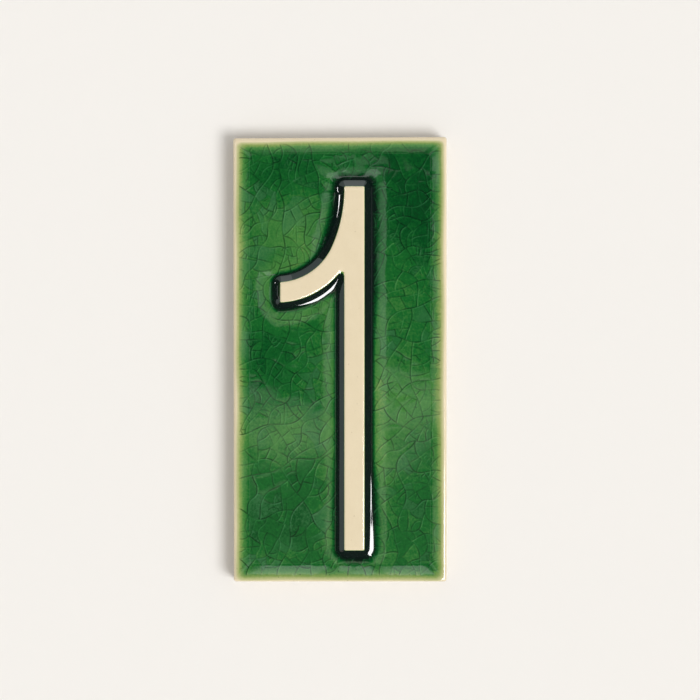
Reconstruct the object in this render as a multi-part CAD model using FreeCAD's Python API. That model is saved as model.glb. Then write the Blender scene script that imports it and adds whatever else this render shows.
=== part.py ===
import FreeCAD, Part
import math
import os

# A house number tile: one press-moulded and glazed piece of fired clay.
# The flat back lies in the plane Y = 0, the front faces -Y, and +Z runs up the numeral.
# A level is a distance in front of the back. All sizes are in millimetres.

# Outline of the tile, which left the kiln slightly out of square
tile_width = 72.0
tile_height = 150.0
right_side_rise = 0.45
left_side_lean = 0.2
corner_radius = 0.9

# Section through the border, from the back edge to the sunken field
rim_level = 8.0
outer_edge_radius = 1.0
rim_crest_width = 0.7
rim_slope_width = 3.8
foot_slope_width = 4.7
field_depth = 0.6
field_corner_radius = 2.2

# The numeral, placed by its gaps to the edges of the tile
stroke_width = 7.05
numeral_right_gap = 27.6
numeral_top_gap = 16.65
numeral_foot_gap = 10.5
numeral_corner_radius = 0.6

# The flag of the numeral: two arcs on its upper side and one below
flag_reach = 21.6
flag_radius = 20.2
shoulder_radius = 47.9
shoulder_turn = 23.9
shoulder_drop = 0.9
crotch_radius = 1.2

# Section through the side of the numeral, where the glaze climbs it
numeral_relief = 2.5
side_slope = 45.0
face_edge_radius = 1.1
glaze_fillet_radius = 3.0
glaze_toe_slope = 5.0
crotch_pooling = 0.6

# Keying grooves in the back
groove_count = 6
groove_side_gap = 9.0
groove_end_gap = 17.0
groove_width = 6.0
groove_depth = 0.8

# How many steps each rounded section is lofted through
section_steps = 4
least_radius = 0.1
root_depth = 2.0


def at(point, level):
    """A point of the front view, lifted to a level."""
    return FreeCAD.Vector(point.x, -level, point.y)


def flat(x, z):
    return FreeCAD.Vector(x, z, 0)


def unit(vector):
    return vector * (1 / vector.Length)


def line(start, end, level):
    return Part.LineSegment(at(start, level), at(end, level)).toShape()


def arc(centre, start, end, level):
    """The shorter arc about a centre."""
    radius = (start - centre).Length
    middle = centre + unit((start - centre) + (end - centre)) * radius
    return Part.Arc(at(start, level), at(middle, level), at(end, level)).toShape()


def crossing(first_point, first_run, second_point, second_run):
    """Where two lines of the front view meet."""
    gap = second_point - first_point
    turn = first_run.x * second_run.y - first_run.y * second_run.x
    along = (gap.x * second_run.y - gap.y * second_run.x) / turn
    return first_point + first_run * along


def tile_corners(side_inset, foot_inset):
    """The corners of the tile's outline, moved inwards from each side."""
    half_width = tile_width / 2
    half_height = tile_height / 2
    corners = [
        flat(-half_width + left_side_lean, -half_height),
        flat(half_width, -half_height),
        flat(half_width, half_height),
        flat(-half_width, half_height - right_side_rise),
    ]
    insets = [foot_inset, side_inset, side_inset, side_inset]
    sides = []
    for index, inset in enumerate(insets):
        run = unit(corners[(index + 1) % 4] - corners[index])
        inward = flat(-run.y, run.x)
        sides.append((corners[index] + inward * inset, run))
    return [crossing(*sides[index - 1], *sides[index]) for index in range(4)]


def tile_outline(side_inset, foot_inset, radius, level):
    corners = tile_corners(side_inset, foot_inset)
    rounded = []
    for index, corner in enumerate(corners):
        to_last = unit(corners[index - 1] - corner)
        to_next = unit(corners[(index + 1) % 4] - corner)
        half_angle = to_last.getAngle(to_next) / 2
        cut_back = radius / math.tan(half_angle)
        centre = corner + unit(to_last + to_next) * (radius / math.sin(half_angle))
        rounded.append((corner + to_last * cut_back, centre, corner + to_next * cut_back))
    edges = []
    for index, (start, centre, end) in enumerate(rounded):
        edges.append(arc(centre, start, end, level))
        edges.append(line(end, rounded[(index + 1) % 4][0], level))
    return Part.Wire(edges)


def numeral_outline(spread, level):
    """The outline of the numeral, moved outwards by a spread."""
    left = tile_width / 2 - numeral_right_gap - stroke_width - spread
    right = tile_width / 2 - numeral_right_gap + spread
    top = tile_height / 2 - numeral_top_gap + spread
    foot = -tile_height / 2 + numeral_foot_gap - spread
    flag_end = left - flag_reach
    round_by = max(numeral_corner_radius + spread, least_radius)
    crotch = crotch_radius + crotch_pooling * max(spread, 0)

    turn = math.radians(shoulder_turn)
    joint = flat(math.cos(turn), -math.sin(turn))
    shoulder_centre = flat(left + spread - shoulder_radius, top - spread - shoulder_drop)
    flag_centre = shoulder_centre + joint * (shoulder_radius - flag_radius)
    shoulder = shoulder_radius - spread
    over = flag_radius - spread
    under = flag_radius + stroke_width + spread

    def below_flag(x, radius):
        """The point at x on a circle about the flag's centre, on its lower side."""
        return flat(x, flag_centre.y - math.sqrt(radius ** 2 - (x - flag_centre.x) ** 2))

    def on_circle(centre, radius, towards):
        return centre + unit(towards - centre) * radius

    top_right = flat(right - round_by, top - round_by)
    foot_right = flat(right - round_by, foot + round_by)
    foot_left = flat(left + round_by, foot + round_by)
    crotch_centre = below_flag(left - crotch, under + crotch)
    end_low = below_flag(flag_end + round_by, under - round_by)
    end_high = below_flag(flag_end + round_by, over + round_by)
    top_rise = top - round_by - shoulder_centre.y
    top_reach = math.sqrt((shoulder + round_by) ** 2 - top_rise ** 2)
    top_left = flat(shoulder_centre.x + top_reach, top - round_by)

    crotch_end = on_circle(flag_centre, under, crotch_centre)
    under_end = on_circle(flag_centre, under, end_low)
    over_start = on_circle(flag_centre, over, end_high)
    over_end = flag_centre + joint * over
    shoulder_end = on_circle(shoulder_centre, shoulder, top_left)

    right_top = flat(right, top_right.y)
    right_foot = flat(right, foot_right.y)
    foot_end = flat(foot_right.x, foot)
    foot_start = flat(foot_left.x, foot)
    left_foot = flat(left, foot_left.y)
    left_top = flat(left, crotch_centre.y)
    tip_low = flat(flag_end, end_low.y)
    tip_high = flat(flag_end, end_high.y)
    top_start = flat(top_left.x, top)
    top_end = flat(top_right.x, top)

    return Part.Wire([
        line(top_start, top_end, level),
        arc(top_right, top_end, right_top, level),
        line(right_top, right_foot, level),
        arc(foot_right, right_foot, foot_end, level),
        line(foot_end, foot_start, level),
        arc(foot_left, foot_start, left_foot, level),
        line(left_foot, left_top, level),
        arc(crotch_centre, left_top, crotch_end, level),
        arc(flag_centre, crotch_end, under_end, level),
        arc(end_low, under_end, tip_low, level),
        line(tip_low, tip_high, level),
        arc(end_high, tip_high, over_start, level),
        arc(flag_centre, over_start, over_end, level),
        arc(shoulder_centre, over_end, shoulder_end, level),
        arc(top_left, shoulder_end, top_start, level),
    ])


def skin(wires):
    """The faces lofted smoothly through a row of wires."""
    return Part.makeLoft(wires, False, False).Faces


def closed(faces):
    """One solid from faces that share their edges."""
    shell = Part.makeCompound(faces)
    shell.sewShape()
    solid = Part.Solid(shell.Shells[0])
    if solid.Volume < 0:
        solid.reverse()
    return solid


def steps():
    return [index / section_steps for index in range(section_steps + 1)]


def border_section():
    """Inset, share of the slope, corner radius and level, from the outer edge to the field."""
    crest_inset = outer_edge_radius + rim_crest_width
    outer = []
    for share in steps():
        angle = share * math.pi / 2
        inset = outer_edge_radius * (1 - math.cos(angle))
        level = rim_level - outer_edge_radius * (1 - math.sin(angle))
        outer.append((inset, 0, corner_radius + inset / 2, level))
    crest_radius = corner_radius + outer_edge_radius / 2
    inner = []
    for share in steps():
        radius = crest_radius + share * (field_corner_radius - crest_radius)
        level = rim_level - field_depth * (1 - math.cos(share * math.pi)) / 2
        inner.append((crest_inset, share, radius, level))
    return outer, inner


def border_wire(inset, share, radius, level):
    side_inset = inset + share * rim_slope_width
    foot_inset = inset + share * foot_slope_width
    return tile_outline(side_inset, foot_inset, radius, level)


def blank():
    """The tile with its rim and sunken field, without the numeral."""
    outer, inner = border_section()
    back_wire = tile_outline(0, 0, corner_radius, 0)
    edge_wires = [border_wire(*section) for section in outer]
    slope_wires = [border_wire(*section) for section in inner]
    faces = [Part.Face(back_wire), Part.Face(slope_wires[-1])]
    faces += skin([back_wire, edge_wires[0]])
    faces += skin(edge_wires)
    faces += skin([edge_wires[-1], slope_wires[0]])
    faces += skin(slope_wires)
    return closed(faces)


def side_section():
    """Spread and height above the field, down the rounded edge, the side and the glaze fillet."""
    slope = math.radians(side_slope)
    toe = math.radians(glaze_toe_slope)
    edge_run = face_edge_radius * math.sin(slope)
    edge_drop = face_edge_radius * (1 - math.cos(slope))
    fillet_drop = glaze_fillet_radius * (math.cos(toe) - math.cos(slope))
    side_drop = numeral_relief - edge_drop - fillet_drop
    side_run = side_drop / math.tan(slope)

    edge = []
    for share in steps():
        angle = share * slope
        spread = face_edge_radius * math.sin(angle) - edge_run
        height = numeral_relief - face_edge_radius * (1 - math.cos(angle))
        edge.append((spread, height))
    fillet = []
    for share in steps():
        angle = slope + share * (toe - slope)
        spread = side_run + glaze_fillet_radius * (math.sin(slope) - math.sin(angle))
        height = fillet_drop - glaze_fillet_radius * (math.cos(angle) - math.cos(slope))
        fillet.append((spread, height))
    return edge, fillet


def numeral():
    """The raised numeral with the glaze drawn up round its side, rooted in the tile."""
    field_level = rim_level - field_depth
    edge, fillet = side_section()
    edge_wires = [numeral_outline(spread, field_level + height) for spread, height in edge]
    fillet_wires = [numeral_outline(spread, field_level + height) for spread, height in fillet]
    root_wire = numeral_outline(fillet[-1][0], field_level - root_depth)
    faces = [Part.Face(edge_wires[0]), Part.Face(root_wire)]
    faces += skin(edge_wires)
    faces += skin([edge_wires[-1], fillet_wires[0]])
    faces += skin(fillet_wires)
    faces += skin([fillet_wires[-1], root_wire])
    return closed(faces)


def groove(centre_height):
    """A shallow round-ended groove across the back."""
    half_width = groove_width / 2
    half_run = tile_width / 2 - groove_side_gap - half_width
    low = centre_height - half_width
    high = centre_height + half_width
    right = flat(half_run, centre_height)
    left = flat(-half_run, centre_height)
    right_tip = at(flat(half_run + half_width, centre_height), 0)
    left_tip = at(flat(-half_run - half_width, centre_height), 0)
    outline = Part.Wire([
        line(flat(left.x, low), flat(right.x, low), 0),
        Part.Arc(at(flat(right.x, low), 0), right_tip, at(flat(right.x, high), 0)).toShape(),
        line(flat(right.x, high), flat(left.x, high), 0),
        Part.Arc(at(flat(left.x, high), 0), left_tip, at(flat(left.x, low), 0)).toShape(),
    ])
    return Part.Face(outline).extrude(FreeCAD.Vector(0, -groove_depth, 0))


def number_tile():
    tile = blank().fuse(numeral())
    first = -tile_height / 2 + groove_end_gap + groove_width / 2
    pitch = -2 * first / (groove_count - 1)
    grooves = [groove(first + index * pitch) for index in range(groove_count)]
    return tile.cut(Part.makeCompound(grooves))


os.makedirs("parts", exist_ok=True)
shape = number_tile()
shape.exportStep("parts/number_tile.step")
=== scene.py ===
import math

import bmesh
import bpy
import numpy as np
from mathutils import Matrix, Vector, geometry


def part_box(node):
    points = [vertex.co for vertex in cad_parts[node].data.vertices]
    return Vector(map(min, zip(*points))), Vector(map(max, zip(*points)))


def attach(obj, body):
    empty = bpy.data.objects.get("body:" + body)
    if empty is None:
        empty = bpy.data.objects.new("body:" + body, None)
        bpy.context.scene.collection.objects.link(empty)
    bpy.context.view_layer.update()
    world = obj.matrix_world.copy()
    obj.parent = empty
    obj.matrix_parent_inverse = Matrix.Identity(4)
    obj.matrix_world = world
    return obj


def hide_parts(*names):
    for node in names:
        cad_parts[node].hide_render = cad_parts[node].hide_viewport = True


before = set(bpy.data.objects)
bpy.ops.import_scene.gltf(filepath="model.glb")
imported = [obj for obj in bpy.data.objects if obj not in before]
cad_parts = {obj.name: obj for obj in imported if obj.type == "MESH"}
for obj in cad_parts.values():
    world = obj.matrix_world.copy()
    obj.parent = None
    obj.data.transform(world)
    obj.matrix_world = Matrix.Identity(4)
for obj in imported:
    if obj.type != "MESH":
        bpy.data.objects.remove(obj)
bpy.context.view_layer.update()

# The tile is made in its own front view: x to the right, z up, and a level in front of the back.
# Those are millimetres, and the mesh is brought to metres when it is built.
MM = 0.001

# Outline and border, as the construction has them
tile_low, tile_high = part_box("number_tile")
tile_width = (tile_high[0] - tile_low[0]) / MM
tile_height = (tile_high[2] - tile_low[2]) / MM
right_side_rise = 0.45
left_side_lean = 0.2
corner_radius = 0.9
corner_growth = 0.25
rim_level = 8.0
outer_edge_radius = 1.0
rim_crest_width = 0.7
rim_slope_width = 3.8
foot_slope_width = 4.2
slope_ease = 0.08
mitre_blend = 1.05
mitre_growth = 0.3
field_depth = 0.6
crest_depth = outer_edge_radius + rim_crest_width
slope_end = crest_depth + rim_slope_width

# The numeral
stroke_width = 7.05
stem_right = tile_width / 2 - 27.6
stem_left = stem_right - stroke_width
numeral_top = tile_height / 2 - 16.65
numeral_foot = 10.5 - tile_height / 2
numeral_corner_radius = 0.6
flag_end = stem_left - 21.6
flag_radius = 20.2
shoulder_radius = 47.9
shoulder_turn = math.radians(23.9)
shoulder_drop = 0.9
crotch_radius = 1.2
crotch_pooling = 0.6
crotch_blend = 2.6
joint_x = math.cos(shoulder_turn)
joint_z = -math.sin(shoulder_turn)
shoulder_x = stem_left - shoulder_radius
shoulder_z = numeral_top - shoulder_drop
flag_x = shoulder_x + joint_x * (shoulder_radius - flag_radius)
flag_z = shoulder_z + joint_z * (shoulder_radius - flag_radius)
under_radius = flag_radius + stroke_width

# Sections down the numeral's side, as slopes in degrees at distances out from the face's edge.
# The glaze ran while it was molten, so its fillet is tight in some places and long in others.
# A section starts steep and ends in the toe, and the two may run long apart from each other.
numeral_relief = 2.5
face_inset = -0.78
steep_points = 4
field_end = (14, 0.01)
far_toe = [(5, 3.2), (7.2, 2.1), (7.9, 0.8), field_end]
upper_steep = [(face_inset, 0), (0, 43), (1.6, 41), (2.3, 20), (2.75, 13), (2.95, 7.5)]
upper_section = upper_steep + [(3.8, 5)] + far_toe
flag_section = upper_steep + [(3.3, 1.7), (4.4, 1.3), (5.4, 0.95), (5.8, 0.05), field_end]
cap_section = upper_steep + [(3.3, 1.05), (5.0, 1.0), (6.0, 0.8), (6.3, 0.05), field_end]
hollow_section = [
    (face_inset, 0), (0, 45), (0.87, 44), (1.1, 21.5), (2.75, 13), (2.95, 7.5), (3.9, 5)] + far_toe
narrow_section = [
    (face_inset, 0), (0, 43), (1.78, 41), (1.98, 21), (2.18, 11), (2.33, 7), (3.4, 5)] + far_toe
pooled_section = [
    (face_inset, 0), (0, 41.5), (1.25, 41), (1.45, 21), (2.8, 10), (3.1, 7), (3.9, 5)] + far_toe
crotch_section = [
    (face_inset, 0), (0, 46), (0.6, 45), (0.8, 32), (1.9, 20), (2.6, 10), (3.6, 5)] + far_toe
foot_section = [
    (face_inset, 0), (0, 40.5), (2.1, 40), (2.3, 21), (2.5, 11), (2.65, 7), (3.6, 5), (4.4, 3),
    (5.0, 0.8), (5.6, 0.05), field_end]

# Where each section takes over: heights, places across or the way that the side faces, each from
# the first number, where it has no share, to the second, where it has all
pool_heights = (-44, -64)
toe_heights = (-48, -62)
under_flag_shares = (0.75, 0.85)
crotch_places = (stem_left - 6.5, stem_left - 1.2)
foot_facing, foot_heights = (0.75, 0.97), (-45, -60)
hollow_foot, hollow_top = (36, 42), (56.7, 56.3)
hollow_end, hollow_end_heights = (flag_end + 1, flag_end), (18, 22)
hollow_facing_left, hollow_facing_up = (-0.3, -0.75), (0.5, 0.35)
flag_facing = (0.3, 0.9)
cap_facing, cap_places = (0.05, 0.55), (-2, 1.5)
lit_facing = (-0.5, 0.5)

# Rings and rows of points on the front: depths in from the outline as shares of its edge radius
# or in full, distances out from the numeral, and how far apart points stand along them
edge_shares = (0.05, 0.12, 0.24, 0.42, 0.65, 1.0, 1.5)
slope_depths = (2.5, 2.9, 3.3, 3.7, 4.1, 4.5, 4.9, slope_end)
face_spreads = (face_inset, -0.6, -0.4, -0.2, -0.04)
side_spreads = (0.04, 0.3, 0.65, 0.9, 1.15, 1.4, 1.65, 1.9, 2.05, 2.2, 2.35, 2.55, 2.75)
toe_spreads = (3.2, 3.45, 3.8, 4.2)
pool_limit = 3.0
outline_step = 1.0
slope_step = 0.9
numeral_step = 0.8
field_step = 0.9
face_step = 1.3
merge_distance = 0.03
sliver_area = 1e-4

# The crackle in the glaze: sizes, and the likely headings of its first and later cracks in
# degrees with their shares and their bends as shares of the cell's size
crackle_seed = 11
crackle_depth = crest_depth - 0.1
cell_area = 21.0
cell_area_spread = 0.6
smallest_share = 0.2
long_cell = 1.7
spur_share = 0.5
early_generations = 5
early_turns, early_shares = (34, 54, 70, 10), (0.30, 0.36, 0.20, 0.14)
late_turns, late_shares = (50, 90, 5, 135), (0.40, 0.25, 0.15, 0.20)
early_wander, late_wander, across_wander = 14, 16, 0.35
early_radii, late_radii = (0.8, 2.4), (0.6, 1.8)
sway_turns, sway_lengths = (12, 34), (7, 22)
crack_step = 0.9
crack_half_width = 0.31
crack_depth = 0.0045
# Painted highlight: a light line painted beside each crack on its side towards the lamp, this far out
# and this wide
painted_glint_offset = 0.36
painted_glint_half_width = 0.30
cell_tilt = 0.0045
cell_edge = 1.4
largest_tilting = 0.03
lamp_side = (math.cos(math.radians(-33)), math.sin(math.radians(-33)))

# Seeds of the wandering fields
field_seed, side_seed, glaze_seed, edge_seed, dark_seed, painted_glint_seed = 5, 9, 21, 22, 31, 32

# The side wall and the back
side_levels = (rim_level - outer_edge_radius, 6.0, 5.2, 4.2, 3.2, 2.2, 1.2)
side_inset = 0.1
side_waviness = 0.035
bare_levels = (4.0, 7.0)
back_bevel = 0.3
back_step = 2.5
groove_count = 6
groove_side_gap = 9.0
groove_end_gap = 17.0
groove_width = 6.0
groove_depth = 0.8
groove_insets = (-0.15, 0.15, 0.45, 0.6)
groove_side_step = 3.0
groove_end_step = 0.9

# The green glaze: where it starts in from the foot, right, top and left sides and over what run
# it thickens, and where in the field it lies thicker or thinner, as x, z, reach in x and z, and
# amount
glaze_starts = (-0.55, -0.02, 0.6, 0.0)
glaze_runs = (6.0, 6.6, 4.6, 6.2)
glaze_corner = 0.4
glaze_pools = [
    (20, -64, 14, 8, -0.10),
    (28, 52, 14, 30, 0.50),
    (-24, 64, 14, 10, 0.25),
    (-20, 40, 12, 16, -0.17),
    (6, 67, 12, 5, 0.25),
    (-11, 44, 6, 10, -0.15),
    (22, 27, 9, 10, -0.12),
    (13, -22, 7, 26, -0.20),
    (-22, 2, 12, 14, 0.22),
    (-16, 12, 9, 6, -0.18),
    (-18, -26, 14, 10, -0.20),
    (24, -14, 12, 14, -0.24),
    (-24, -54, 14, 12, 0.22),
    (26, -62, 14, 10, 0.12),
    (19, 15, 8, 10, -0.07),
    (34, -52, 4, 26, 0.25),
    (-14, 38, 5.5, 9, -0.16),
]

# Round the numeral it climbs the side from a distance on, farther where it is dark, and just
# beyond that it lies thin
pool_thickness = 1.7
climb_start = 1.7
climb_reach = 3.9
dark_reach = 1.8
dark_top_places, dark_top_heights = (0, 12), (2, 34)
dark_head_heights, dark_head_share = (26, 46), 0.8
dark_foot_heights, dark_foot_places, dark_foot_least = (-32, -47), (-1, 6), 0.4
thin_glaze = 0.22
thin_from, thin_to = (2.6, 3.6), (5.0, 9.5)
thickest_glaze = 2.5

# Colours
clay_light = (0.81, 0.695, 0.49)
clay_dark = (0.795, 0.68, 0.475)
side_clay = (0.58, 0.51, 0.40)
speck_colour = (0.42, 0.29, 0.15)
pinhole_colour = (0.0, 0.03, 0.008)
# Painted reflection: a grey-green haze painted on some cells of the crackle
painted_haze_colour = (0.10, 0.22, 0.13)
crack_colour = (0.0, 0.016, 0.004)
# Painted highlight: the lighter green added beside the cracks on the lamp's side
painted_glint_colour = (0.018, 0.060, 0.030)
glaze_stops = [
    (0.0, (0.72, 0.66, 0.42)),
    (0.06, (0.46, 0.48, 0.22)),
    (0.12, (0.25, 0.35, 0.10)),
    (0.24, (0.065, 0.225, 0.048)),
    (0.40, (0.0085, 0.125, 0.021)),
    (0.56, (0.001, 0.066, 0.012)),
    (0.80, (0.002, 0.022, 0.007)),
    (1.0, (0.003, 0.009, 0.007)),
]
speck_strength, grain_strength, pinhole_strength = 0.30, 0.05, 0.6
# Strengths of the painted haze reflection on some cells and of the crack lines
painted_haze_strength, crack_strength = 0.20, 0.87
# Changes to the glaze's depth from clouds, fine noise and cells, and its thinning under the painted
# highlight beside the cracks
cloud_change, fine_change, cell_change, painted_glint_change = 0.28, 0.55, 0.055, 0.22
glaze_roughness, clay_roughness, bare_roughness = 0.03, 0.15, 0.55
glaze_index = 1.52
wall_colour = (0.885, 0.865, 0.838)
dark_card_colour = (0.078, 0.098, 0.092)
ceiling_colour = (0.93, 1.0, 1.0)
room_colour = (1.0, 0.985, 0.955)
mirrored_room_colour = (0.86, 1.0, 0.98)

# Stage, in metres
stage_half = 2.5
wall_gap = 0.0002
floor_height = -1.3
card_distance = -1.16
card_half = 1.0
side_card_x = -0.11
side_card_depth = 0.1
side_card_foot, side_card_top = 0.028, 0.122
ceiling_half = 0.35
ceiling_front, ceiling_back = -0.5, 0.4
ceiling_height = 1.2
ceiling_level = 1.7
drum_steps = 96
drum_radius = 1.0
drum_front = -1.28
drum_rear_grey = -0.25
drum_rear_top = -0.55
drum_rear_dark = 0.0
drum_top, drum_shaded = (0.3, 0.7), (-0.35, 0.1)

# The room that the field mirrors, in metres on the card behind the camera: where its dark parts
# begin and end, how dark they are, and where it is brighter or warmer
card_lean = 0.05
card_upper, card_lower = (-0.037, -0.007), (-0.092, -0.052)
card_lower_share, card_least_dark = 0.6, 0.25
card_left, card_right = (-0.13, -0.09), (0.095, 0.115)
card_over, card_over_left = (0.142, 0.156), (-0.075, -0.06)
card_foot = (-0.26, -0.20)
card_sides = (0.115, 0.21)
card_ceiling, card_floor = (0.25, 0.30), (-0.36, -0.31)
card_round = (0.42, 0.46)
left_window, right_window, window_height = (-0.34, -0.30), (0.30, 0.34), (0.18, 0.22)
right_window_share = 0.55
card_darkness = 0.95
card_bright, card_ends = (0.17, 0.185), (0.065, 0.09)
bright_gain, over_loss, end_loss = 1.3, 0.4, 0.35
card_blue, card_least_blue = (-0.05, -0.025), 0.8

# Lamps: place, point aimed at, width, height and radiance
key_polar = math.radians(36)
key_turn = math.radians(-34)
key_spread = math.radians(28)
key_level = 1.83
glint_lamps = {
    "key_glint": ((0.52, -0.8, -0.39), (0.52, 0, -0.39), 0.44, 0.62, 25.0),
    "left_glint": ((-0.8, -0.8, 0.202), (0, 0, 0), 0.125, 0.1235, 32.5),
    "low_glint": ((0.225, -0.8, -0.5), (0.225, 0, -0.5), 0.15, 0.4, 25.0),
}
back_fill = ((0.5, 1.2, 0.4), (0, 0, 0), 0.9, 0.9, 1.6)
room_light = 0.555

# Camera: the photograph's frame spans this many millimetres at the rim
frame_width = 236.0
sensor_width = 36.0
camera_distance = 1.1
camera_right = 3.4
camera_up = 3.1


# Distances on the front view

def tile_sides():
    """A point and an inward normal for the foot, right, top and left sides."""
    half_width = tile_width / 2
    half_height = tile_height / 2
    corners = [
        (-half_width + left_side_lean, -half_height),
        (half_width, -half_height),
        (half_width, half_height),
        (-half_width, half_height - right_side_rise),
    ]
    sides = []
    for index, (x, z) in enumerate(corners):
        next_x, next_z = corners[(index + 1) % 4]
        length = math.hypot(next_x - x, next_z - z)
        sides.append(((x, z), (-(next_z - z) / length, (next_x - x) / length)))
    return sides


def soft_min(first, second, blend):
    """The lesser of two distances, with the corner between them rounded off."""
    near = np.maximum(blend - np.abs(first - second), 0) / blend
    return np.minimum(first, second) - near * near * blend / 4


def side_distances(x, z):
    """How far a point lies in from the foot, right, top and left sides."""
    return [
        (x - side_x) * normal_x + (z - side_z) * normal_z
        for (side_x, side_z), (normal_x, normal_z) in tile_sides()
    ]


def border_depth(x, z):
    """How far a point lies inside the outline, in steps of the side slopes' width."""
    foot, right, top, left = side_distances(x, z)
    foot_share = (foot - crest_depth) * rim_slope_width / foot_slope_width
    foot = np.where(foot > crest_depth, crest_depth + foot_share, foot)
    across = np.minimum(left, right)
    upright = np.minimum(foot, top)
    growth = mitre_growth * np.clip(np.minimum(across, upright), 0, slope_end)
    return soft_min(across, upright, mitre_blend + growth)


def numeral_distance(x, z):
    """Signed distance to the numeral's outline, negative on its face."""
    below_joint = (x - flag_x) * -joint_z + (z - flag_z) * joint_x < 0
    from_flag = np.hypot(x - flag_x, z - flag_z)
    over_shoulder = shoulder_radius - np.hypot(x - shoulder_x, z - shoulder_z)
    over = np.where(below_joint, flag_radius - from_flag, over_shoulder)
    under = np.where(z > flag_z, -under_radius, from_flag - under_radius)
    low_left = soft_min(stem_left - x, under, crotch_blend)
    walls = [over, x - stem_right, z - numeral_top, numeral_foot - z, flag_end - x, low_left]
    walls = np.stack(walls) + numeral_corner_radius
    outside = np.sqrt(np.sum(np.maximum(walls, 0) ** 2, axis=0))
    inside = np.minimum(np.max(walls, axis=0), 0)
    return outside + inside - numeral_corner_radius


# Heights on the front view

def soft_ramp(share, ease):
    """Goes from 0 to 1 at an even slope after a short rounded start."""
    rounded = share * share / (2 * ease)
    even = share - ease / 2
    return np.where(share < ease, rounded, even) / (1 - ease / 2)


def border_level(depth):
    """Level of the rim, its slope and the field for a depth inside the outline."""
    depth = np.maximum(depth, 0)
    edge = np.clip(outer_edge_radius - depth, 0, outer_edge_radius)
    rounded = np.sqrt(outer_edge_radius ** 2 - edge ** 2) - outer_edge_radius
    even = np.clip((depth - crest_depth) / rim_slope_width, 0, 1)
    share = (soft_ramp(even, slope_ease) + 1 - soft_ramp(1 - even, slope_ease)) / 2
    return rim_level + rounded - field_depth * share


def section_heights(section, spread):
    """Height above the field at a distance from the outline, down each place's own section."""
    reaches = section[:, 0]
    slopes = np.radians(section[:, 1])
    fallen = 0
    whole = 0
    for near, far, steep, flat in zip(reaches, reaches[1:], slopes, slopes[1:]):
        turn = (flat - steep) / (far - near)
        reached = steep + turn * (np.clip(spread, near, far) - near)
        fallen += np.log(np.cos(steep) / np.cos(reached)) / turn
        whole += np.log(np.cos(steep) / np.cos(flat)) / turn
    return numeral_relief * (1 - fallen / whole)


def side_height(x, z, spread):
    """Height of the numeral above the field, with the longest fillet where the glaze pooled."""
    upper, flag, cap, hollow, narrow, pooled, crotch, foot = [
        np.array(section)[:, :, None]
        for section in (
            upper_section, flag_section, cap_section, hollow_section, narrow_section,
            pooled_section, crotch_section, foot_section)]
    apart = 0.05
    slope_x = (numeral_distance(x + apart, z) - numeral_distance(x - apart, z)) / (2 * apart)
    slope_z = (numeral_distance(x, z + apart) - numeral_distance(x, z - apart)) / (2 * apart)

    under_flag = x < stem_left + 2
    deeper = np.clip((z - pool_heights[0]) / (pool_heights[1] - pool_heights[0]), 0, 1)
    steep_share = np.where(under_flag, under_flag_shares[0], deeper)
    toe_share = np.where(under_flag, under_flag_shares[1], smooth(*toe_heights, z))
    share = np.repeat([steep_share, toe_share], [steep_points, len(pooled) - steep_points], axis=0)
    lower = narrow + (pooled - narrow) * share[:, None]
    lower += (crotch - lower) * smooth(*crotch_places, x) * under_flag
    lower += (foot - lower) * smooth(*foot_facing, -slope_z) * smooth(*foot_heights, z)
    at_end = smooth(*hollow_end, x) * smooth(*hollow_end_heights, z)
    hollow_share = np.maximum(smooth(*hollow_foot, z) * smooth(*hollow_top, z), at_end)
    hollow_share *= smooth(*hollow_facing_left, slope_x) * smooth(*hollow_facing_up, slope_z)
    upper = upper + (hollow - upper) * hollow_share
    upper += (flag - upper) * smooth(*flag_facing, slope_z)
    upper += (cap - upper) * smooth(*cap_facing, slope_z) * smooth(*cap_places, x)
    lit_share = smooth(*lit_facing, slope_x * lamp_side[0] + slope_z * lamp_side[1])
    return section_heights(upper + (lower - upper) * lit_share, spread)


def swell(x, z, seed, reach, count=7):
    """A smooth wandering field of about unit height."""
    rng = np.random.default_rng(seed)
    total = np.zeros_like(x)
    for _ in range(count):
        turn = rng.uniform(0, math.pi)
        length = reach * rng.uniform(0.7, 1.6)
        phase = rng.uniform(0, 2 * math.pi)
        along = x * math.cos(turn) + z * math.sin(turn)
        total += np.sin(2 * math.pi * along / length + phase)
    return total / math.sqrt(count)


def smooth(low, high, value):
    """0 up to low, 1 from high on, and an S-shaped run between; low may be the greater."""
    share = np.clip((value - low) / (high - low), 0, 1)
    return share * share * (3 - 2 * share)


# Lines on the front view

def straight(start, end, spacing):
    """Points from a start up to, but not at, an end."""
    count = max(1, round(math.dist(start, end) / spacing))
    return [
        (start[0] + (end[0] - start[0]) * step / count, start[1] + (end[1] - start[1]) * step / count)
        for step in range(count)
    ]


def sweep(centre, radius, first, last, spacing, least=5):
    """Points along an arc from a first angle up to, but not at, a last one."""
    count = max(least, round(abs(last - first) * radius / spacing))
    angles = [first + (last - first) * step / count for step in range(count)]
    return [(centre[0] + radius * math.cos(a), centre[1] + radius * math.sin(a)) for a in angles]


def bearing(centre, point):
    return math.atan2(point[1] - centre[1], point[0] - centre[0])


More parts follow.
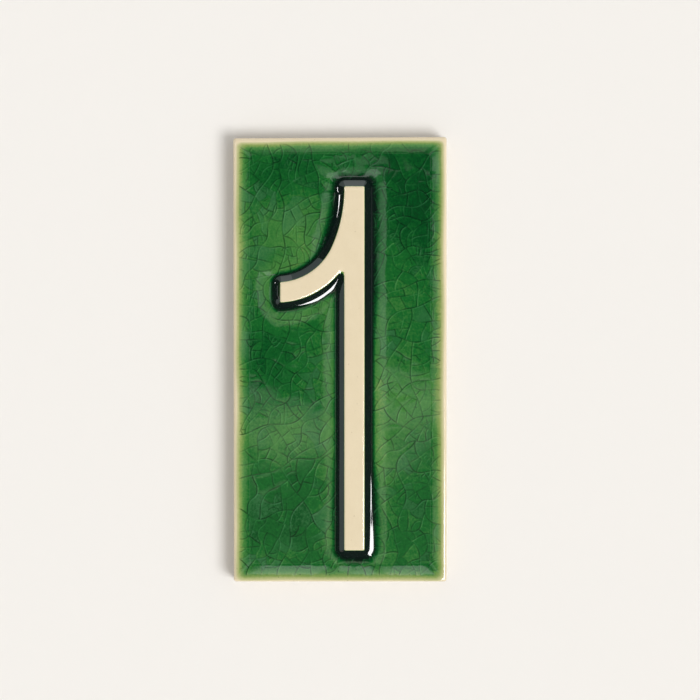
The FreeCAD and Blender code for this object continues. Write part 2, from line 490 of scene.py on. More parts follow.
def numeral_line(spread, spacing):
    """The numeral's outline moved outwards, as a closed ring of points, clockwise."""
    left = stem_left - spread
    right = stem_right + spread
    top = numeral_top + spread
    foot = numeral_foot - spread
    end = flag_end - spread
    round_by = max(numeral_corner_radius + spread, 0.1)
    crotch = crotch_radius + crotch_pooling * max(spread, 0)
    flag = (flag_x, flag_z)
    shoulder = (shoulder_x, shoulder_z)
    over = flag_radius - spread
    under = under_radius + spread
    beyond = shoulder_radius - spread

    def below_flag(x, radius):
        return (x, flag_z - math.sqrt(radius ** 2 - (x - flag_x) ** 2))

    top_right = (right - round_by, top - round_by)
    foot_right = (right - round_by, foot + round_by)
    foot_left = (left + round_by, foot + round_by)
    crotch_centre = below_flag(left - crotch, under + crotch)
    end_low = below_flag(end + round_by, under - round_by)
    end_high = below_flag(end + round_by, over + round_by)
    top_rise = top - round_by - shoulder_z
    top_left = (shoulder_x + math.sqrt((beyond + round_by) ** 2 - top_rise ** 2), top - round_by)

    quarter = math.pi / 2
    under_start = bearing(flag, crotch_centre)
    under_end = bearing(flag, end_low)
    over_start = bearing(flag, end_high)
    shoulder_end = bearing(shoulder, top_left)
    points = straight((top_left[0], top), (top_right[0], top), spacing)
    points += sweep(top_right, round_by, quarter, 0, spacing)
    points += straight((right, top_right[1]), (right, foot_right[1]), spacing)
    points += sweep(foot_right, round_by, 0, -quarter, spacing)
    points += straight((foot_right[0], foot), (foot_left[0], foot), spacing)
    points += sweep(foot_left, round_by, -quarter, -2 * quarter, spacing)
    points += straight((left, foot_left[1]), (left, crotch_centre[1]), spacing)
    points += sweep(crotch_centre, crotch, 0, under_start + math.pi, spacing)
    points += sweep(flag, under, under_start, under_end, spacing)
    points += sweep(end_low, round_by, under_end, -2 * quarter, spacing)
    points += straight((end, end_low[1]), (end, end_high[1]), spacing)
    points += sweep(end_high, round_by, 2 * quarter, over_start + math.pi, spacing)
    points += sweep(flag, over, over_start, -shoulder_turn, spacing)
    points += sweep(shoulder, beyond, -shoulder_turn, shoulder_end, spacing)
    points += sweep(top_left, round_by, shoulder_end + math.pi, quarter, spacing)
    return points


def border_line(depth, spacing):
    """The tile's outline moved inwards, as a closed ring of points."""
    foot_depth = depth
    if depth > crest_depth:
        foot_depth = crest_depth + (depth - crest_depth) * foot_slope_width / rim_slope_width
    sides = []
    for index, ((x, z), (normal_x, normal_z)) in enumerate(tile_sides()):
        inset = foot_depth if index == 0 else depth
        sides.append((x + normal_x * inset, z + normal_z * inset, normal_x, normal_z))
    radius = corner_radius + corner_growth * depth
    points = []
    corners = []
    for index, (x, z, normal_x, normal_z) in enumerate(sides):
        last_x, last_z, last_normal_x, last_normal_z = sides[index - 1]
        turn = last_normal_x * normal_z - last_normal_z * normal_x
        last_gap = last_x * last_normal_x + last_z * last_normal_z + radius
        gap = x * normal_x + z * normal_z + radius
        centre_x = (last_gap * normal_z - gap * last_normal_z) / turn
        centre_z = (gap * last_normal_x - last_gap * normal_x) / turn
        first = math.atan2(-last_normal_z, -last_normal_x)
        last = math.atan2(-normal_z, -normal_x)
        if last < first:
            last += 2 * math.pi
        corners.append((centre_x, centre_z, first, last))
    for index, (x, z, first, last) in enumerate(corners):
        points += sweep((x, z), radius, first, last, spacing)
        next_x, next_z, next_first, _ = corners[(index + 1) % 4]
        start = (x + radius * math.cos(last), z + radius * math.sin(last))
        end = (next_x + radius * math.cos(next_first), next_z + radius * math.sin(next_first))
        points += straight(start, end, spacing)
    return points


# The crackle: cells split again and again by gently curved cracks

def polygon_area(points):
    x, z = points[:, 0], points[:, 1]
    return 0.5 * float(np.sum(x * np.roll(z, -1) - z * np.roll(x, -1)))


def roundness(points):
    """1 for a circle, less for a long or pointed cell."""
    girth = float(np.sum(np.linalg.norm(points - np.roll(points, 1, axis=0), axis=1)))
    return 4 * math.pi * abs(polygon_area(points)) / girth ** 2


def holds(points, place):
    """Whether a polygon holds a place."""
    x, z = points[:, 0], points[:, 1]
    next_x, next_z = np.roll(x, -1), np.roll(z, -1)
    spans = (z > place[1]) != (next_z > place[1])
    rise = np.where(spans, next_z - z, 1)
    crossing = x + (place[1] - z) * (next_x - x) / rise
    return bool(np.sum(spans & (crossing > place[0])) % 2)


def leave(points, start, course, way):
    """Walks a course from a start inside a polygon until it meets its side."""
    turn, bend, sway, sway_length, phase = course
    runs = np.roll(points, -1, axis=0) - points
    path = []
    here = np.array(start)
    longest_walk = 400
    for index in range(longest_walk):
        walked = way * index * crack_step
        heading = turn + bend * walked + sway * math.sin(2 * math.pi * walked / sway_length + phase)
        step = way * crack_step * np.array([math.cos(heading), math.sin(heading)])
        cross = step[0] * runs[:, 1] - step[1] * runs[:, 0]
        cross = np.where(np.abs(cross) < 1e-12, 1e-12, cross)
        gap = points - here
        along = (gap[:, 0] * runs[:, 1] - gap[:, 1] * runs[:, 0]) / cross
        beside = (gap[:, 0] * step[1] - gap[:, 1] * step[0]) / cross
        meets = (along > 1e-9) & (along <= 1) & (beside >= 0) & (beside <= 1)
        if np.any(meets):
            side = int(np.argmin(np.where(meets, along, 2)))
            path.append(here + step * along[side])
            squareness = abs(cross[side]) / (crack_step * np.linalg.norm(runs[side]))
            return path, side, squareness
        here = here + step
        path.append(here)
    return None, None, None


def split(points, start, course):
    """Two cells, the crack between them and how well it is placed, or nothing."""
    ahead, ahead_side, ahead_square = leave(points, start, course, 1)
    behind, behind_side, behind_square = leave(points, start, course, -1)
    if ahead is None or behind is None or ahead_side == behind_side:
        return None
    path = np.array(behind[::-1] + [np.array(start)] + ahead)
    count = len(points)

    def around(first, last):
        index = (first + 1) % count
        taken = [points[index]]
        while index != last:
            index = (index + 1) % count
            taken.append(points[index])
        return taken

    one = np.array(list(path) + around(ahead_side, behind_side))
    other = np.array(list(path[::-1]) + around(behind_side, ahead_side))
    least = smallest_share * abs(polygon_area(points))
    if min(abs(polygon_area(one)), abs(polygon_area(other))) < least:
        return None
    fitness = 0.6 * min(roundness(one), roundness(other)) + min(ahead_square, behind_square)
    return one, other, path, fitness


def courses(rng, points, generation):
    """Likely courses for the next crack across a cell: the first ones run long and diagonal."""
    size = math.sqrt(abs(polygon_area(points)))
    centre = points.mean(axis=0)
    spread = points - centre
    values, directions = np.linalg.eigh(spread.T @ spread)
    stretch = math.sqrt(values[1] / max(values[0], 1e-6))
    across = math.atan2(directions[1, 1], directions[0, 1]) + math.pi / 2
    early = generation < early_generations
    for _ in range(30):
        place = centre + rng.normal(0, 0.14, 2) * size
        if not holds(points, place):
            continue
        if early:
            turn = rng.choice(early_turns, p=early_shares) + rng.normal(0, early_wander)
            turn = math.radians(turn)
        elif stretch > long_cell:
            turn = across + rng.normal(0, across_wander)
        else:
            turn = rng.choice(late_turns, p=late_shares) + rng.normal(0, late_wander)
            turn = math.radians(turn)
        radius = size * rng.uniform(*(early_radii if early else late_radii))
        bend = rng.choice([-1, 1]) / radius
        sway = math.radians(rng.uniform(*sway_turns))
        yield place, (turn, bend, sway, rng.uniform(*sway_lengths), rng.uniform(0, 2 * math.pi))


def crackle():
    """Every crack as a row of points with its strength."""
    rng = np.random.default_rng(crackle_seed)
    cells = [(np.array(border_line(crackle_depth, 4.0)), 0)]
    cracks = []
    while cells:
        points, generation = cells.pop()
        least = cell_area * math.exp(rng.normal(0, cell_area_spread))
        if abs(polygon_area(points)) < least:
            if rng.uniform() < spur_share:
                place, course = next(courses(rng, points, generation), (None, None))
                spur = leave(points, place, course, 1)[0] if course else None
                if spur:
                    cracks.append((np.array([place] + spur), rng.uniform(0.3, 0.8)))
            continue
        wanted = 2 if generation < early_generations - 1 else 6
        made = []
        for place, course in courses(rng, points, generation):
            crack = split(points, place, course)
            if crack:
                made.append(crack)
            if len(made) == wanted:
                break
        if made:
            one, other, path, _ = max(made, key=lambda crack: crack[3])
            weakest = 0.7 if generation < early_generations else 0.3
            cracks.append((path, rng.uniform(weakest, 1.0)))
            cells += [(one, generation + 1), (other, generation + 1)]
    return cracks


def beside(path, offset):
    """A path moved sideways, towards the lamp's side for a positive offset."""
    runs = np.gradient(path, axis=0)
    runs /= np.linalg.norm(runs, axis=1)[:, None]
    normals = np.stack([runs[:, 1], -runs[:, 0]], axis=1)
    chord = path[-1] - path[0]
    if chord[1] * lamp_side[0] - chord[0] * lamp_side[1] < 0:
        normals = -normals
    return path + normals * offset, normals


def distance_to(path, places):
    """Distance from places to a path, and the part of the path that is nearest."""
    best = np.full(len(places), np.inf)
    nearest = np.zeros(len(places), int)
    for index in range(len(path) - 1):
        start = path[index]
        run = path[index + 1] - start
        along = np.clip((places - start) @ run / (run @ run), 0, 1)
        gap = np.linalg.norm(places - start - along[:, None] * run, axis=1)
        closer = gap < best
        best[closer] = gap[closer]
        nearest[closer] = index
    return best, nearest


def places_near(path, places, reach):
    """Numbers of the places in a box a reach wider than the path."""
    low = path.min(axis=0) - reach
    high = path.max(axis=0) + reach
    return np.nonzero(np.all((places > low) & (places < high), axis=1))[0]


def crack_marks(cracks, places):
    """How dark the crack, how bright the painted highlight beside it and how far the crack is at each
    place.
    """
    dark = np.zeros(len(places))
    painted_glint_share = np.zeros(len(places))
    nearest_gap = np.full(len(places), np.inf)
    reach = painted_glint_offset + painted_glint_half_width + crack_step
    for path, strength in cracks:
        near = places_near(path, places, reach)
        if len(near) == 0:
            continue
        gap, _ = distance_to(path, places[near])
        nearest_gap[near] = np.minimum(nearest_gap[near], gap)
        mark = strength * np.clip(1 - gap / crack_half_width, 0, 1)
        dark[near] = np.maximum(dark[near], mark)
        # Painted highlight: a light line beside the crack, only where the crack's side faces the lamp
        glint, normals = beside(path, painted_glint_offset)
        facing = np.clip(normals @ np.array(lamp_side), 0, 1)
        gap, nearest = distance_to(glint, places[near])
        mark = strength * facing[nearest] * np.clip(1 - gap / painted_glint_half_width, 0, 1)
        painted_glint_share[near] = np.maximum(painted_glint_share[near], mark)
    x, z = places[:, 0], places[:, 1]
    dark *= np.clip(0.7 + 0.45 * swell(x, z, dark_seed, 7.0), 0.12, 1)
    painted_glint_share *= np.clip(0.6 + 0.5 * swell(x, z, painted_glint_seed, 7.0), 0.05, 1)
    return dark, painted_glint_share, nearest_gap


def near_cracks(cracks, places):
    """Whether each place lies too close to a crack for a point of its own."""
    found = np.zeros(len(places), bool)
    clearance = 0.8
    for path, _ in cracks:
        near = places_near(path, places, clearance)
        if len(near):
            gap, _ = distance_to(path, places[near])
            found[near[gap < clearance]] = True
    return found


def fill_points(spacing, keep):
    """Staggered rows of points wherever keep(x, z) holds."""
    rows = []
    half_width = tile_width / 2
    half_height = tile_height / 2
    row_gap = spacing * math.sqrt(3) / 2
    for row in range(int(tile_height / row_gap) + 1):
        shift = spacing / 2 if row % 2 else 0
        x = np.arange(-half_width + shift, half_width, spacing)
        rows.append(np.stack([x, np.full_like(x, -half_height + row * row_gap)], axis=1))
    places = np.concatenate(rows)
    return places[keep(places[:, 0], places[:, 1])]


class Drawing:
    """Points and lines on the front view, meshed together. The first line is the outline."""

    def __init__(self, outline):
        self.points = []
        self.lines = []
        self.fences = set()
        self.depths = {}
        self.outline_count = len(outline)
        self.add_line(outline, depth=0)

    def add_line(self, points, closed=True, fence=False, depth=None):
        first = len(self.points)
        self.points.extend((float(x), float(z)) for x, z in points)
        count = len(points)
        for index in range(count if closed else count - 1):
            if fence:
                self.fences.add(len(self.lines))
            self.lines.append((first + index, first + (index + 1) % count))
        if depth is not None:
            self.depths.update((index, depth) for index in range(first, first + count))

    def mesh(self):
        """Places, triangles, which triangles share a fenced cell, and known border depths."""
        meshed = geometry.delaunay_2d_cdt(
            [Vector(point) for point in self.points], self.lines, [], 0, merge_distance)
        places, edges, faces, from_points, from_lines, _ = meshed
        places = np.array([tuple(place) for place in places])
        faces = self.inside_outline(places, np.array(faces), from_points)
        depths = np.full(len(places), np.nan)
        for index, sources in enumerate(from_points):
            for source in sources:
                if source in self.depths:
                    depths[index] = self.depths[source]
        fences = {
            (min(edge), max(edge))
            for edge, sources in zip(edges, from_lines) if self.fences.intersection(sources)}
        return places, faces, cells_of(faces, fences), depths

    def inside_outline(self, places, faces, from_points):
        """The triangles without the slivers that lie just outside the outline's straight sides."""
        on_outline = np.array([
            any(source < self.outline_count for source in sources) for sources in from_points])
        start, middle, end = [places[faces[:, corner]] for corner in range(3)]
        one, other = middle - start, end - start
        area = 0.5 * np.abs(one[:, 0] * other[:, 1] - one[:, 1] * other[:, 0])
        return faces[~(on_outline[faces].all(axis=1) & (area < sliver_area))]


def cells_of(faces, fences):
    """A cell number from 0 up for each triangle, where fences part the cells."""
    parent = list(range(len(faces)))

    def root(index):
        while parent[index] != index:
            parent[index] = parent[parent[index]]
            index = parent[index]
        return index

    seen = {}
    for index, corners in enumerate(faces):
        for corner in range(3):
            start, end = corners[corner], corners[(corner + 1) % 3]
            edge = (min(start, end), max(start, end))
            if edge in fences:
                continue
            if edge in seen:
                parent[root(index)] = root(seen[edge])
            else:
                seen[edge] = index
    roots = [root(index) for index in range(len(faces))]
    return np.unique(roots, return_inverse=True)[1]


def cell_tilts(places, faces, cells):
    """The height that each cell's own small tilt adds, shared out at the cracks."""
    rng = np.random.default_rng(crackle_seed + 1)
    total = np.zeros(len(places))
    count = np.zeros(len(places))
    centres = places[faces].mean(axis=1)
    sizes = np.bincount(cells)
    slopes = rng.normal(0, cell_tilt, (len(sizes), 2))
    slopes[sizes > largest_tilting * len(faces)] = 0
    middle = np.stack([np.bincount(cells, centres[:, axis]) / sizes for axis in (0, 1)], axis=1)
    for vertex in faces.T:
        away = places[vertex] - middle[cells]
        np.add.at(total, vertex, np.sum(away * slopes[cells], axis=1))
        np.add.at(count, vertex, 1)
    return total / np.maximum(count, 1)


def beyond_pool(path, limit):
    """The parts of a crack that lie farther than a limit from the numeral."""
    distance = numeral_distance(path[:, 0], path[:, 1])
    parts = []
    part = []
    for index, place in enumerate(path):
        crosses = index > 0 and (distance[index] > limit) != (distance[index - 1] > limit)
        if crosses:
            share = (limit - distance[index - 1]) / (distance[index] - distance[index - 1])
            part.append(path[index - 1] + (place - path[index - 1]) * share)
        if distance[index] > limit:
            part.append(place)
        elif crosses:
            parts.append(np.array(part))
            part = []
    if len(part) > 1:
        parts.append(np.array(part))
    return parts


def cell_shades(cells):
    """One number about 0 for each triangle, the same all over a cell of the crackle."""
    rng = np.random.default_rng(crackle_seed + 2)
    sizes = np.bincount(cells)
    shades = np.clip(rng.normal(0, 1, len(sizes)), -2, 2)
    shades[sizes > largest_tilting * len(cells)] = 0
    return shades[cells]


def front_view():
    """The meshed front: places, levels, triangles and what the finish needs."""
    cracks = crackle()
    drawing = Drawing(border_line(0, outline_step))
    for share in edge_shares:
        depth = share * outer_edge_radius
        drawing.add_line(border_line(depth, outline_step), depth=depth)
    drawing.add_line(border_line(crest_depth + 0.2, slope_step), fence=True)
    for depth in slope_depths:
        drawing.add_line(border_line(depth, slope_step))
    for spread in face_spreads + side_spreads + (pool_limit,) + toe_spreads:
        drawing.add_line(numeral_line(spread, numeral_step), fence=spread == pool_limit)

    kept = [
        (part, strength)
        for path, strength in cracks
        for part in beyond_pool(path, pool_limit - 0.1)]
    for path, _ in kept:
        drawing.add_line(path, closed=False, fence=True)
        for offset in (-crack_half_width, painted_glint_offset, painted_glint_offset + painted_glint_half_width):
            drawing.add_line(beside(path, offset)[0], closed=False)

    def open_field(x, z):
        clear = (numeral_distance(x, z) > 4.3) & (border_depth(x, z) > slope_end + 0.3)
        return clear & ~near_cracks(kept, np.stack([x, z], axis=1))

    def on_face(x, z):
        return numeral_distance(x, z) < -1.2

    drawing.points.extend(map(tuple, fill_points(field_step, open_field)))
    drawing.points.extend(map(tuple, fill_points(face_step, on_face)))

    places, faces, cells, known_depths = drawing.mesh()
    x, z = places[:, 0], places[:, 1]
    depth = np.where(np.isnan(known_depths), border_depth(x, z), known_depths)
    distance = numeral_distance(x, z)
    dark, painted_glint_share, crack_gap = crack_marks(kept, places)

    glazed_share = smooth(crest_depth, slope_end, depth) * smooth(pool_limit, 4.0, distance)
    swollen_share = smooth(1.0, slope_end, depth) * smooth(-1.5, 3.0, distance)
    level = border_level(depth) + side_height(x, z, distance)
    level += 0.02 * swell(x, z, field_seed, 26.0) * swollen_share
    level += cell_tilts(places, faces, cells) * glazed_share * smooth(0, cell_edge, crack_gap)
    level -= crack_depth * dark * glazed_share
    level = np.minimum(level, rim_level - field_depth + numeral_relief)
    cover = smooth(crest_depth, crest_depth + 1.0, depth) * smooth(1.8, 3.2, distance)
    glaze = glaze_thickness(x, z, distance)
    # Crack lines, and the painted highlight beside them on the lamp's side
    marks = {"glaze": glaze, "crack": dark * cover, "glint": painted_glint_share * cover}
    return places, level, faces, marks, cell_shades(cells)


def back_view(outline):
    """The meshed back with its keying grooves."""
    drawing = Drawing(outline)
    drawing.add_line(outline * 0.98)
    half_run = tile_width / 2 - groove_side_gap - groove_width / 2
    first = -tile_height / 2 + groove_end_gap + groove_width / 2
    centres = [first - 2 * first * index / (groove_count - 1) for index in range(groove_count)]
    quarter = math.pi / 2
    for centre in centres:
        for inset in groove_insets:
            radius = groove_width / 2 - inset
            ring = []
            for side in (-1, 1):
                level = centre + side * radius
                end = (-side * half_run, centre)
                ring += straight((side * half_run, level), (-side * half_run, level), groove_side_step)
                ring += sweep(end, radius, side * quarter, (side + 2) * quarter, groove_end_step)
            drawing.add_line(ring)

    def groove_inset(x, z):
        nearest = np.min([np.abs(z - centre) for centre in centres], axis=0)
        return groove_width / 2 - np.hypot(np.maximum(np.abs(x) - half_run, 0), nearest)

    def clear(x, z):
        return (border_depth(x, z) > 1.5) & (np.abs(groove_inset(x, z) - 0.2) > 1.0)

    drawing.points.extend(map(tuple, fill_points(back_step, clear)))
    places, faces, _, _ = drawing.mesh()
    inset = groove_inset(places[:, 0], places[:, 1])
    return places, groove_depth * smooth(groove_insets[0], groove_insets[-1], inset), faces


def side_rings():
    """Rings of the side wall from the rounded edge down to the bevelled back."""
    outline = np.array(border_line(0, outline_step))
    inward = -outline / np.abs(outline).max(axis=0)
    rings = []
    for index, level in enumerate(side_levels + (back_bevel,)):
        wave = side_waviness * swell(outline[:, 0] + 40 * level, outline[:, 1], side_seed, 14.0)
        fade = min(1.0, index / 2)
        rings.append((outline + inward * (side_inset + wave[:, None]) * fade, level))
    rings.append((outline + inward * (side_inset + back_bevel), 0.0))
    return rings


def glaze_thickness(x, z, distance):
    """How thick the green glaze lies, where 1 is the usual depth in the field."""
    field = 1 + 0.06 * swell(x, z, glaze_seed, 30.0)
    for pool_x, pool_z, reach_x, reach_z, amount in glaze_pools:
        field += amount * np.exp(-((x - pool_x) / reach_x) ** 2 - ((z - pool_z) / reach_z) ** 2)
    foot, right, top, left = [
        (side - start) / run
        for side, start, run in zip(side_distances(x, z), glaze_starts, glaze_runs)]
    share = soft_min(np.minimum(left, right), np.minimum(foot, top), glaze_corner)
    field = field * smooth(0, 1, share + 0.03 * swell(x, z, edge_seed, 24.0))
    dark_top = smooth(*dark_top_places, x) * smooth(*dark_top_heights, z)
    dark_top = np.maximum(dark_top, dark_head_share * smooth(*dark_head_heights, z))
    across = dark_foot_least + (1 - dark_foot_least) * smooth(*dark_foot_places, x)
    dark_foot = smooth(*dark_foot_heights, z) * across
    reach = climb_reach + dark_reach * np.maximum(dark_top, dark_foot)
    climb = pool_thickness * (1 - smooth(climb_start / reach, 1.0, distance / reach))
    thin = thin_glaze * smooth(*thin_from, distance) * (1 - smooth(*thin_to, distance))
    thin *= (1 - dark_top) * (1 - 0.7 * dark_foot)
    return (field + climb - thin) * smooth(-0.12, 0.05, distance)


def keep_on(mesh, name, domain, values):
    """Keeps a number on each point or face of a mesh, and 0 where there are no more."""
    layer = mesh.attributes.new(name, "FLOAT", domain)
    padded = np.zeros(len(layer.data), dtype=np.float32)
    padded[:len(values)] = values
    layer.data.foreach_set("value", padded)


def build_tile():
    """One closed mesh of the fired tile."""
    places, level, faces, marks, shades = front_view()
    verts = [(x, -y, z) for (x, z), y in zip(places, level)]
    triangles = faces.tolist()
    bare = [0.0] * len(verts)

    rings = side_rings()
    count = len(rings[0][0])
    for step, (ring, ring_level) in enumerate(rings):
        above = len(verts) - count
        below = len(verts)
        verts += [(x, -ring_level, z) for x, z in ring]
        bare += [float(1 - smooth(*bare_levels, ring_level))] * count
        for index in range(count if step else 0):
            after = (index + 1) % count
            triangles.append((above + index, below + index, below + after, above + after))

    back_places, back_level, back_faces = back_view(rings[-1][0])
    triangles += (back_faces[:, ::-1] + len(verts)).tolist()
    verts += [(x, -y, z) for (x, z), y in zip(back_places, back_level)]
    bare += [1.0] * len(back_places)

    mesh = bpy.data.meshes.new("glazed_tile")
    mesh.from_pydata([Vector(vert) * MM for vert in verts], [], triangles)
    for name, values in marks.items():
        keep_on(mesh, name, "POINT", values)
    keep_on(mesh, "bare", "POINT", bare)
    keep_on(mesh, "cell", "FACE", shades)

    welded = bmesh.new()
    welded.from_mesh(mesh)
    bmesh.ops.remove_doubles(welded, verts=welded.verts, dist=0.004 * MM)
    welded.to_mesh(mesh)
    welded.free()
    mesh.shade_smooth()
    tile = bpy.data.objects.new("glazed_tile", mesh)
    bpy.context.collection.objects.link(tile)
    return tile


# Finishes

class Value:
    """A shader socket that can be used in Python sums."""

    def __init__(self, finish, socket):
        self.finish = finish
        self.socket = socket

    def combine(self, operation, *others):
        sockets = dict(enumerate((self,) + others))
        return self.finish.add("ShaderNodeMath", {"operation": operation}, sockets)

    def __add__(self, other):
        return self.combine("ADD", other)

    __radd__ = __add__

    def __sub__(self, other):
        return self.combine("SUBTRACT", other)

    def __rsub__(self, other):
        return (self * -1) + other

    def __mul__(self, other):
        return self.combine("MULTIPLY", other)

    __rmul__ = __mul__

    def power(self, other):
        return self.combine("POWER", other)

    def size(self):
        return self.combine("ABSOLUTE")

    def at_least(self, other):
        return self.combine("MAXIMUM", other)

    def at_most(self, other):
        return self.combine("MINIMUM", other)

    def between(self, low, high):
        """0 below low, 1 above high, and smooth between them."""
        share = ((self - low) * (1 / (high - low))).at_least(0.0).at_most(1.0)
        return share * share * (3 - 2 * share)


class Finish:
    """The nodes of a new material, or of a new world."""

    def __init__(self, name, kind="materials"):
        self.owner = getattr(bpy.data, kind).new(name)
        self.owner.use_nodes = True
        self.tree = self.owner.node_tree
        self.tree.nodes.clear()

    def add(self, kind, settings=None, sockets=None, output=0):
        """Adds a node: its settings first, then its sockets' links, colours or numbers."""
        node = self.tree.nodes.new(kind)
        for name, setting in (settings or {}).items():
            if name == "stops":
                self.set_stops(node.color_ramp, setting)
            else:
                setattr(node, name, setting)
        for name, value in (sockets or {}).items():
            if isinstance(value, Value):
                self.tree.links.new(value.socket, node.inputs[name])
            else:
                colour = isinstance(value, tuple)
                node.inputs[name].default_value = (*value, 1) if colour else value
        return Value(self, node.outputs[output]) if node.outputs else node

    def set_stops(self, ramp, stops):
        while len(ramp.elements) < len(stops):
            ramp.elements.new(0.5)
        for element, (place, colour) in zip(ramp.elements, stops):
            element.position = place
            element.color = (*colour, 1)

    def mark(self, name):
        """A number kept on the mesh."""
        return self.add("ShaderNodeAttribute", {"attribute_name": name}, output="Fac")

    def blend(self, share, first, second, kind="MIX"):
        """Two colours mixed by a share."""
        settings = {"data_type": "RGBA", "blend_type": kind}
        return self.add("ShaderNodeMix", settings, {0: share, 6: first, 7: second}, output=2)

    def place(self):
        return self.add("ShaderNodeTexCoord", output="Object")

    def noise(self, scale, detail):
        sockets = {"Vector": self.place(), "Scale": scale, "Detail": detail, "Roughness": 0.5}
        return self.add("ShaderNodeTexNoise", {}, sockets)

    def close(self, kind, sockets, end="ShaderNodeOutputMaterial"):
        """Ends the finish with a shader."""
        self.add(end, {}, {"Surface": self.add(kind, {}, sockets)})
        return self.owner


def glazed_clay():
    """Speckled clay under clear and green glaze, with crackle, painted highlights and painted haze."""
    finish = Finish("crackle_glaze_on_clay")
    glaze = finish.mark("glaze")
    crack = finish.mark("crack")
    glint = finish.mark("glint")
    bare = finish.mark("bare")
    cell = finish.mark("cell")

    mottle = finish.noise(scale=260.0, detail=3.0).between(0.35, 0.7)
    grain = finish.noise(scale=1500.0, detail=2.0).between(0.55, 0.75)
    clay = finish.blend(mottle, clay_light, clay_dark)
    specks = finish.noise(scale=900.0, detail=1.0).between(0.72, 0.78)
    clay = finish.blend(specks * speck_strength, clay, speck_colour)
    clay = finish.blend(grain * grain_strength, clay, speck_colour)
    clay = finish.blend(bare, clay, side_clay)

    cloud = (finish.noise(scale=90.0, detail=3.0) - 0.5) * cloud_change
    fine = (finish.noise(scale=1300.0, detail=2.0) - 0.5) * fine_change
    # The painted highlight beside the cracks thins the glaze's colour there
    depth = glaze * (1 + cloud + fine + cell * cell_change) * (1 - glint * painted_glint_change)
    depth = depth * (1 / thickest_glaze)
    tint = finish.add("ShaderNodeValToRGB", {"stops": glaze_stops}, {"Fac": depth}, output="Color")
    cover = glaze.between(0.0, 0.10)
    colour = finish.blend(cover, clay, tint)
    pinholes = finish.noise(scale=1000.0, detail=1.0).between(0.73, 0.79)
    colour = finish.blend(pinholes * cover * pinhole_strength, colour, pinhole_colour)
    # Painted reflection: a grey-green haze painted on some cells, where the glaze has its usual depth
    painted_haze = cell.between(0.0, 1.2) * finish.noise(scale=60.0, detail=2.0).between(0.40, 0.62)
    painted_haze = painted_haze * cover * (1 - depth.between(0.44, 0.54))
    colour = finish.blend(painted_haze * painted_haze_strength, colour, painted_haze_colour)
    colour = finish.blend(crack.power(0.8) * crack_strength, colour, crack_colour)
    # Painted highlight: a lighter green added beside the cracks on the lamp's side
    colour = finish.blend(glint, colour, painted_glint_colour, "ADD")

    roughness = glaze_roughness + bare * bare_roughness + (1 - cover) * clay_roughness
    sockets = {"Base Color": colour, "Roughness": roughness, "IOR": glaze_index}
    return finish.close("ShaderNodeBsdfPrincipled", sockets)


def plain(name, colour, roughness):
    sockets = {"Base Color": colour, "Roughness": roughness}
    return Finish(name).close("ShaderNodeBsdfPrincipled", sockets)


def wall_paper():
    """Pale wall, seen only from its front."""
    finish = Finish("pale_wall")
    paint = finish.add("ShaderNodeBsdfDiffuse", {}, {"Color": wall_colour})
    clear = finish.add("ShaderNodeBsdfTransparent")
    behind = finish.add("ShaderNodeNewGeometry", output="Backfacing")
    return finish.close("ShaderNodeMixShader", {0: behind, 1: paint, 2: clear})


# Stage

def flat_mesh(name, verts, material, faces=((0, 1, 2, 3),)):
    mesh = bpy.data.meshes.new(name)
    mesh.from_pydata(verts, [], faces)
    mesh.materials.append(material)
    made = bpy.data.objects.new(name, mesh)
    bpy.context.collection.objects.link(made)
    return made


def rectangle(axis, place, low, high):
    """Corners of a rectangle across an axis, from its low corner to its high one."""
    corners = [low, (high[0], low[1]), high, (low[0], high[1])]
    return [corner[:axis] + (place,) + corner[axis:] for corner in corners]


def build_stage():
    low, high = (-stage_half, -stage_half), (stage_half, stage_half)
    wall = flat_mesh("wall", rectangle(1, wall_gap, low, high), wall_paper())
    pale = plain("pale_floor", wall_colour, 0.9)
    floor = flat_mesh("floor", rectangle(2, floor_height, low, high), pale)
    for backdrop in (wall, floor):
        backdrop.visible_shadow = False

    dark = plain("dark_card", dark_card_colour, 1.0)
    low, high = (-card_half, -card_half), (card_half, card_half)
    room = flat_mesh("room_card", rectangle(1, card_distance, low, high), room_card())
    low, high = (0, side_card_foot), (-side_card_depth, side_card_top)
    side = flat_mesh("side_card", rectangle(0, side_card_x, low, high), dark)
    light = {"Color": ceiling_colour, "Strength": ceiling_level}
    shine = Finish("pale_ceiling").close("ShaderNodeEmission", light)
    low, high = (-ceiling_half, ceiling_front), (ceiling_half, ceiling_back)
    ceiling = flat_mesh("ceiling_card", rectangle(2, ceiling_height, low, high), shine)
    for card in (room, side, ceiling, build_drum(dark)):
        card.visible_camera = False
        card.visible_diffuse = False
        card.visible_transmission = False
        card.visible_shadow = False


def room_card():
    """What the field reflects: the dark camera side of a pale room, with soft edges."""
    finish = Finish("room_behind_camera")
    x, z = [
        finish.add("ShaderNodeSeparateXYZ", {}, {"Vector": finish.place()}, output=axis)
        for axis in ("X", "Z")]
    leaning = z - x * card_lean
    lower = (1 - leaning.between(*card_lower)) * card_lower_share
    dark = (leaning.between(*card_upper) + lower + card_least_dark).at_most(1.0)
    dark = dark * (1 - x.between(*card_right)) * x.between(*card_left)
    over = z.between(*card_over)
    above = over * x.between(*card_over_left)
    dark = dark.at_least(over - above) * (1 - above) * z.between(*card_foot)
    window = 1 - x.between(*left_window) + x.between(*right_window) * right_window_share
    window = window * (1 - z.size().between(*window_height))
    outer = x.size().between(*card_sides) * (1 - window)
    outer = outer.at_least(z.between(*card_ceiling)).at_least(1 - z.between(*card_floor))
    away = (x * x + z * z).power(0.5)
    dark = dark.at_least(outer).at_least(away.between(*card_round))
    grey = 1 - dark * card_darkness
    ends = x.size().between(*card_ends)
    gain = bright_gain * z.between(*card_bright) * (1 - ends)
    strength = 1 - over_loss * over + gain - end_loss * over * ends
    blue = grey * (card_least_blue + (1 - card_least_blue) * z.between(*card_blue))
    shade = finish.add("ShaderNodeCombineColor", {}, {0: grey, 1: grey, 2: blue})
    return finish.close("ShaderNodeEmission", {"Color": shade, "Strength": strength})


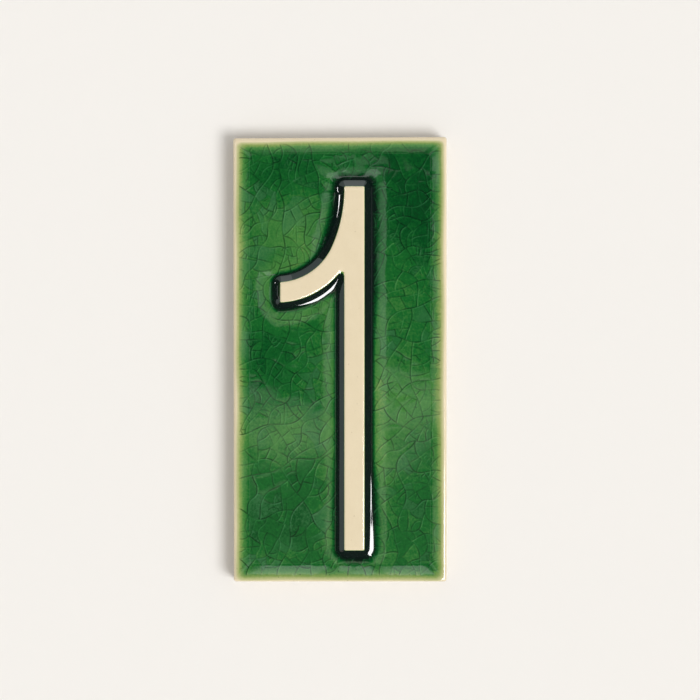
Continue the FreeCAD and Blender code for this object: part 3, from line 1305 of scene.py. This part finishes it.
def build_drum(material):
    """A dark open drum round the tile, seen only in its reflections."""
    verts = []
    faces = []
    for index in range(drum_steps):
        turn = 2 * math.pi * index / drum_steps
        x, z = math.cos(turn), math.sin(turn)
        facing_lamp = x * lamp_side[0] + z * lamp_side[1]
        grey = drum_rear_grey + (drum_rear_top - drum_rear_grey) * smooth(*drum_top, z)
        rear = grey + (drum_rear_dark - grey) * smooth(*drum_shaded, facing_lamp)
        verts.append((x * drum_radius, drum_front, z * drum_radius))
        verts.append((x * drum_radius, float(rear), z * drum_radius))
        after = 2 * ((index + 1) % drum_steps)
        faces.append((2 * index, 2 * index + 1, after + 1, after))
    return flat_mesh("dark_drum", verts, material, faces)


def area_lamp(name, place, target, width, height, radiance):
    """A soft box that shines with an even radiance towards a target."""
    lamp = bpy.data.lights.new(name, "AREA")
    lamp.shape = "RECTANGLE"
    lamp.size = width
    lamp.size_y = height
    lamp.energy = radiance * math.pi * width * height
    made = bpy.data.objects.new(name, lamp)
    made.location = place
    aim = Vector(target) - Vector(place)
    made.rotation_euler = aim.to_track_quat("-Z", "Y").to_euler()
    made.visible_camera = False
    bpy.context.collection.objects.link(made)
    return made


def build_lights():
    key = bpy.data.lights.new("key_light", "SUN")
    key.energy = key_level
    key.angle = key_spread
    key_object = bpy.data.objects.new("key_light", key)
    side = math.sin(key_polar)
    towards = Vector((side * math.cos(key_turn), -math.cos(key_polar), side * math.sin(key_turn)))
    key_object.rotation_euler = towards.to_track_quat("Z", "Y").to_euler()
    key_object.visible_glossy = False
    bpy.context.collection.objects.link(key_object)

    for name, lamp in glint_lamps.items():
        area_lamp(name, *lamp).visible_diffuse = False
    area_lamp("back_fill", *back_fill)


def build_room():
    """A room that is white to the camera and in reflections, and dimmer as light on the tile."""
    finish = Finish("studio", "worlds")
    camera, glossy, through = [
        finish.add("ShaderNodeLightPath", output=f"Is {ray} Ray")
        for ray in ("Camera", "Glossy", "Transmission")]
    seen = camera.at_least(glossy).at_least(through)
    hue = finish.blend(glossy, room_colour, mirrored_room_colour)
    sockets = {"Color": hue, "Strength": room_light + (1 - room_light) * seen}
    bpy.context.scene.world = finish.close("ShaderNodeBackground", sockets, "ShaderNodeOutputWorld")


def build_camera():
    lens = bpy.data.cameras.new("camera")
    lens.sensor_width = sensor_width
    rim_distance = camera_distance - rim_level * MM
    lens.lens = lens.sensor_width * rim_distance / (frame_width * MM)
    lens.clip_start = 0.01
    camera = bpy.data.objects.new("camera", lens)
    camera.location = (camera_right * MM, -camera_distance, camera_up * MM)
    camera.rotation_euler = (math.pi / 2, 0, 0)
    bpy.context.collection.objects.link(camera)
    bpy.context.scene.camera = camera


build_camera()
build_lights()
build_room()
build_stage()
tile = build_tile()
tile.data.materials.append(glazed_clay())
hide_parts("number_tile")
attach(tile, "root")

bpy.context.scene.view_settings.view_transform = "Standard"
